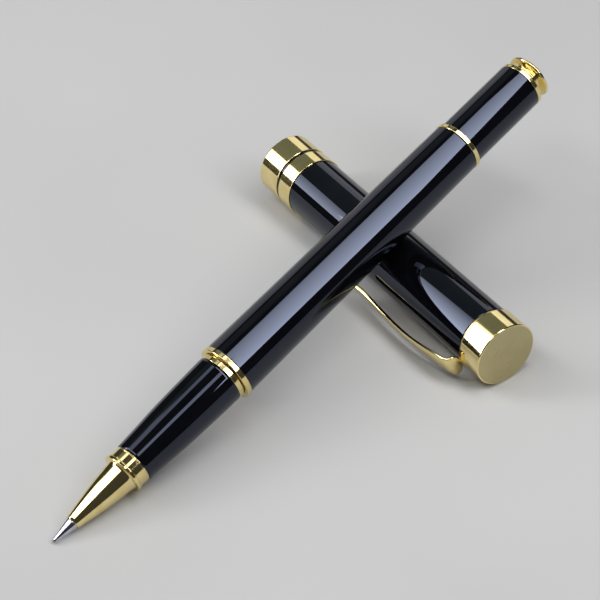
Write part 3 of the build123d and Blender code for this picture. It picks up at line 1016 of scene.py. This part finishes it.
for build in (
    build_writing_ball, build_refill_point, build_refill_adaptor, build_refill_tube,
    build_ink_reservoir, build_refill_plug, build_refill_spring, build_nose_cone, build_nose_collar,
    build_grip, build_section_sleeve, build_seal_ring, build_section_trim_ring,
    build_barrel_trim_ring, build_barrel_bush, build_barrel_tube, build_barrel_ring,
    build_tail_connector, build_tail_tube, build_tail_plug, build_tail_ring, build_end_finial,
    build_crown, build_crown_stud, build_clip_ring, build_cap_insert, build_inner_sleeve,
    build_cap_tube, build_rear_mouth_band, build_front_mouth_band, build_clip,
):
    build()


# ---------------------------------------------------------------- floor, light and camera


def build_floor(size=6.0, gap=0.00002):
    """A pale floor, a hair below the object so that nothing flickers where they touch."""
    bm = bmesh.new()
    bmesh.ops.create_grid(bm, x_segments=8, y_segments=8, size=size / 2)
    mesh = bpy.data.meshes.new("Floor")
    bm.to_mesh(mesh)
    bm.free()
    floor = bpy.data.objects.new("Floor", mesh)
    floor.location.z = cad_box[0].z - gap
    bpy.context.scene.collection.objects.link(floor)
    paper = Shader("floor_paper", Matrix.Identity(4), Roughness=0.9, Specular_IOR_Level=0.1)
    paper.base(paper.colours(paper.noise(9, detail=2), (0.55, 0.55, 0.55), (0.59, 0.59, 0.59)))
    mesh.materials.append(paper.material)


def softbox(
    name, direction, size, along, radiance,
    end_share=1.0, aim=None, tint=(1, 1, 1), distance=0.60,
):
    """A rectangular light at a distance from its aim point and facing it, which is the object's middle
    unless another is given. Its first side lies along a given direction. Its brightness falls along
    its second side, from the radiance to end_share of it."""
    aim = aim or (cad_box[0] + cad_box[1]) / 2
    toward = Vector(direction).normalized()
    first = (Vector(along) - toward * toward.dot(Vector(along))).normalized()
    second = toward.cross(first)
    light = bpy.data.lights.new(name, "AREA")
    light.shape = "RECTANGLE"
    light.size, light.size_y = size
    light.energy = radiance * math.pi * size[0] * size[1]
    light.color = tint
    if end_share < 1:
        light.use_nodes = True
        nodes, links = light.node_tree.nodes, light.node_tree.links
        split = nodes.new("ShaderNodeSeparateXYZ")
        fall = nodes.new("ShaderNodeMapRange")
        fall.inputs["To Min"].default_value = 1.0
        fall.inputs["To Max"].default_value = end_share
        links.new(nodes.new("ShaderNodeNewGeometry").outputs["Parametric"], split.inputs["Vector"])
        links.new(split.outputs["Y"], fall.inputs["Value"])
        links.new(fall.outputs["Result"], nodes["Emission"].inputs["Strength"])
    lamp = bpy.data.objects.new(name, light)
    lamp.matrix_world = Matrix.Translation(aim + toward * distance) @ Matrix(
        (first, second, toward)
    ).transposed().to_4x4()
    lamp.visible_camera = False
    bpy.context.scene.collection.objects.link(lamp)


def round_the_pen(lean, forward):
    """A direction that leans, in degrees, from straight up toward the viewer, seen along the pen. Its
    part along the pen, toward the tail, is given by forward."""
    up = PEN.to_3x3() @ Vector((0, 1, 0))
    front = PEN.to_3x3() @ Vector((-1, 0, 0))
    angle = math.radians(lean)
    ring = up * math.cos(angle) + front * math.sin(angle)
    return ring * math.sqrt(1 - forward**2) + pen_direction * forward


def round_the_cap(lean, forward):
    """The same for the cap: the lean is from straight up toward -X, and forward is toward the mouth."""
    angle = math.radians(lean)
    ring = Vector((-math.sin(angle), 0, math.cos(angle)))
    return ring * math.sqrt(1 - forward**2) + Vector((0, forward, 0))


def light_the_pen():
    """One long box makes the broad streak on the barrel, and smaller ones light the grip and nose."""
    barrel_middle, grip_middle, nose_middle = on_line(PEN, 75), on_line(PEN, 30), on_line(PEN, 11)
    barrel_side = round_the_pen(24, 0.38)
    slanted = Matrix.Rotation(math.radians(-2.5), 3, barrel_side) @ pen_direction
    softbox("BarrelBox", barrel_side, (0.17, 0.79), slanted, 8.8, 0.38, aim=barrel_middle)
    softbox("NoseBox", round_the_pen(-11, -0.07), (0.16, 0.60), pen_direction, 3.6, aim=nose_middle)
    softbox(
        "GripStripFront", round_the_pen(24, 0.19), (0.13, 0.13), pen_direction, 2.8, aim=grip_middle
    )
    softbox(
        "GripStripBack", round_the_pen(-22, 0.19), (0.13, 0.14), pen_direction, 1.7, aim=grip_middle
    )
    softbox(
        "BarrelEdgeStrip", round_the_pen(-78, 0.36), (0.17, 0.30), pen_direction, 0.6,
        aim=barrel_middle,
    )


def light_the_cap():
    """Two boxes share the streak along the cap and change over where the pen hides it."""
    toward_mouth = Vector((0, 1, 0))
    crown_half, mouth_half = on_line(CAP, 13), on_line(CAP, 52)
    softbox(
        "CapMouthBox", round_the_cap(45.5, 0.65), (0.09, 0.31), -toward_mouth, 5.9, 0.37, aim=mouth_half
    )
    softbox(
        "CapCrownBox", round_the_cap(48, 0.60), (0.10, 0.79), -toward_mouth, 11.5, 0.05, aim=crown_half
    )
    softbox(
        "CapTopFill", round_the_cap(-8, 0.633), (0.26, 1.10), toward_mouth, 0.12,
        tint=(0.85, 1.0, 0.92), distance=0.64,
    )
    softbox("CapEdgeStrip", round_the_cap(-62, 0.633), (0.26, 0.22), toward_mouth, 0.9)


def build_world(brightness=0.045):
    world = bpy.data.worlds.new("Studio")
    world.use_nodes = True
    world.node_tree.nodes["Background"].inputs["Color"].default_value = (*[brightness] * 3, 1)
    bpy.context.scene.world = world


VIEW_AZIMUTH, VIEW_ELEVATION, VIEW_ROLL = 330.29, 43.18, -7.41
VIEW_DISTANCE, VIEW_LENS = 0.4739, 165.06
LOOK_AT = Vector((0.00141, -0.00090, 0.00800))


def build_camera():
    """A long lens at the photograph's angle, with the photograph's small tilt."""
    azimuth, elevation = math.radians(VIEW_AZIMUTH), math.radians(VIEW_ELEVATION)
    level = math.cos(elevation)
    back = Vector((math.sin(azimuth) * level, -math.cos(azimuth) * level, math.sin(elevation)))
    data = bpy.data.cameras.new("Camera")
    data.lens = VIEW_LENS
    data.clip_start, data.clip_end = 0.01, 20
    camera = bpy.data.objects.new("Camera", data)
    aimed = (-back).to_track_quat("-Z", "Y").to_matrix() @ Matrix.Rotation(math.radians(VIEW_ROLL), 3, "Z")
    camera.matrix_world = Matrix.Translation(LOOK_AT + back * VIEW_DISTANCE) @ aimed.to_4x4()
    bpy.context.scene.collection.objects.link(camera)
    bpy.context.scene.camera = camera


build_floor()
light_the_pen()
light_the_cap()
build_world()
build_camera()
bpy.context.scene.view_settings.view_transform = "Standard"
